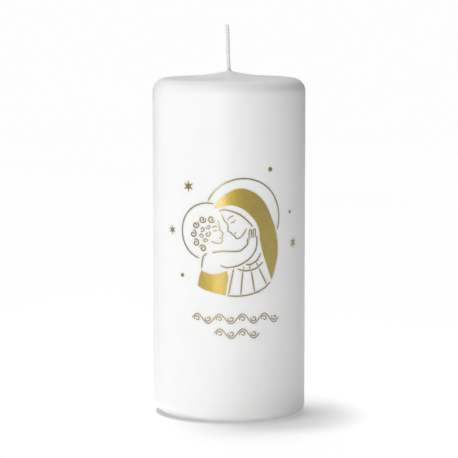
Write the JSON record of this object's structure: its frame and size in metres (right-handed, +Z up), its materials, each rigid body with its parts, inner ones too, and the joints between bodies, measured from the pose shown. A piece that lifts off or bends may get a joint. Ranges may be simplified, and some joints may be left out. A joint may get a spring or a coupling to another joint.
{
  "type": "pillar candle",
  "caption": "Upright white pillar candle, round with softened edges, a free wick on top and a thin gold-foil line motif on its front.",
  "frame": {"origin": "centre of the flat base, on the surface that the candle stands on", "axes": "+Z up along the candle's axis towards the wick, -Y out of the decorated front, +X to the right seen from the front"},
  "size_m": [0.068, 0.0681, 0.1737],
  "materials": {
    "coat_wax": "satin white over-dipping wax",
    "core_wax": "matt pressed paraffin wax",
    "wick_wax": "thin wax sleeve on the wick",
    "cotton": "braided cotton, wax filled",
    "tinned_steel": "bright tinned sheet",
    "gold_foil": "bright hot-stamped gold foil"
  },
  "bodies": {
    "root": {"wax_core": "core_wax", "wax_coat": "coat_wax", "wick": "cotton", "wick_priming": "wick_wax", "wick_tab": "tinned_steel", "halo_large": "gold_foil", "halo_small": "gold_foil", "veil": "gold_foil", "wimple_edge": "gold_foil", "mother_face": "gold_foil", "child_face": "gold_foil", "child_curls": "gold_foil", "child_back": "gold_foil", "child_arm": "gold_foil", "child_tunic": "gold_foil", "collar": "gold_foil", "dress_folds": "gold_foil", "dress_hem": "gold_foil", "star_upper_left": "gold_foil", "star_left": "gold_foil", "star_right": "gold_foil", "dot_upper_right": "gold_foil", "dot_right": "gold_foil", "dot_left": "gold_foil", "scroll_upper": "gold_foil", "scroll_lower": "gold_foil"}
  },
  "joints": []
}
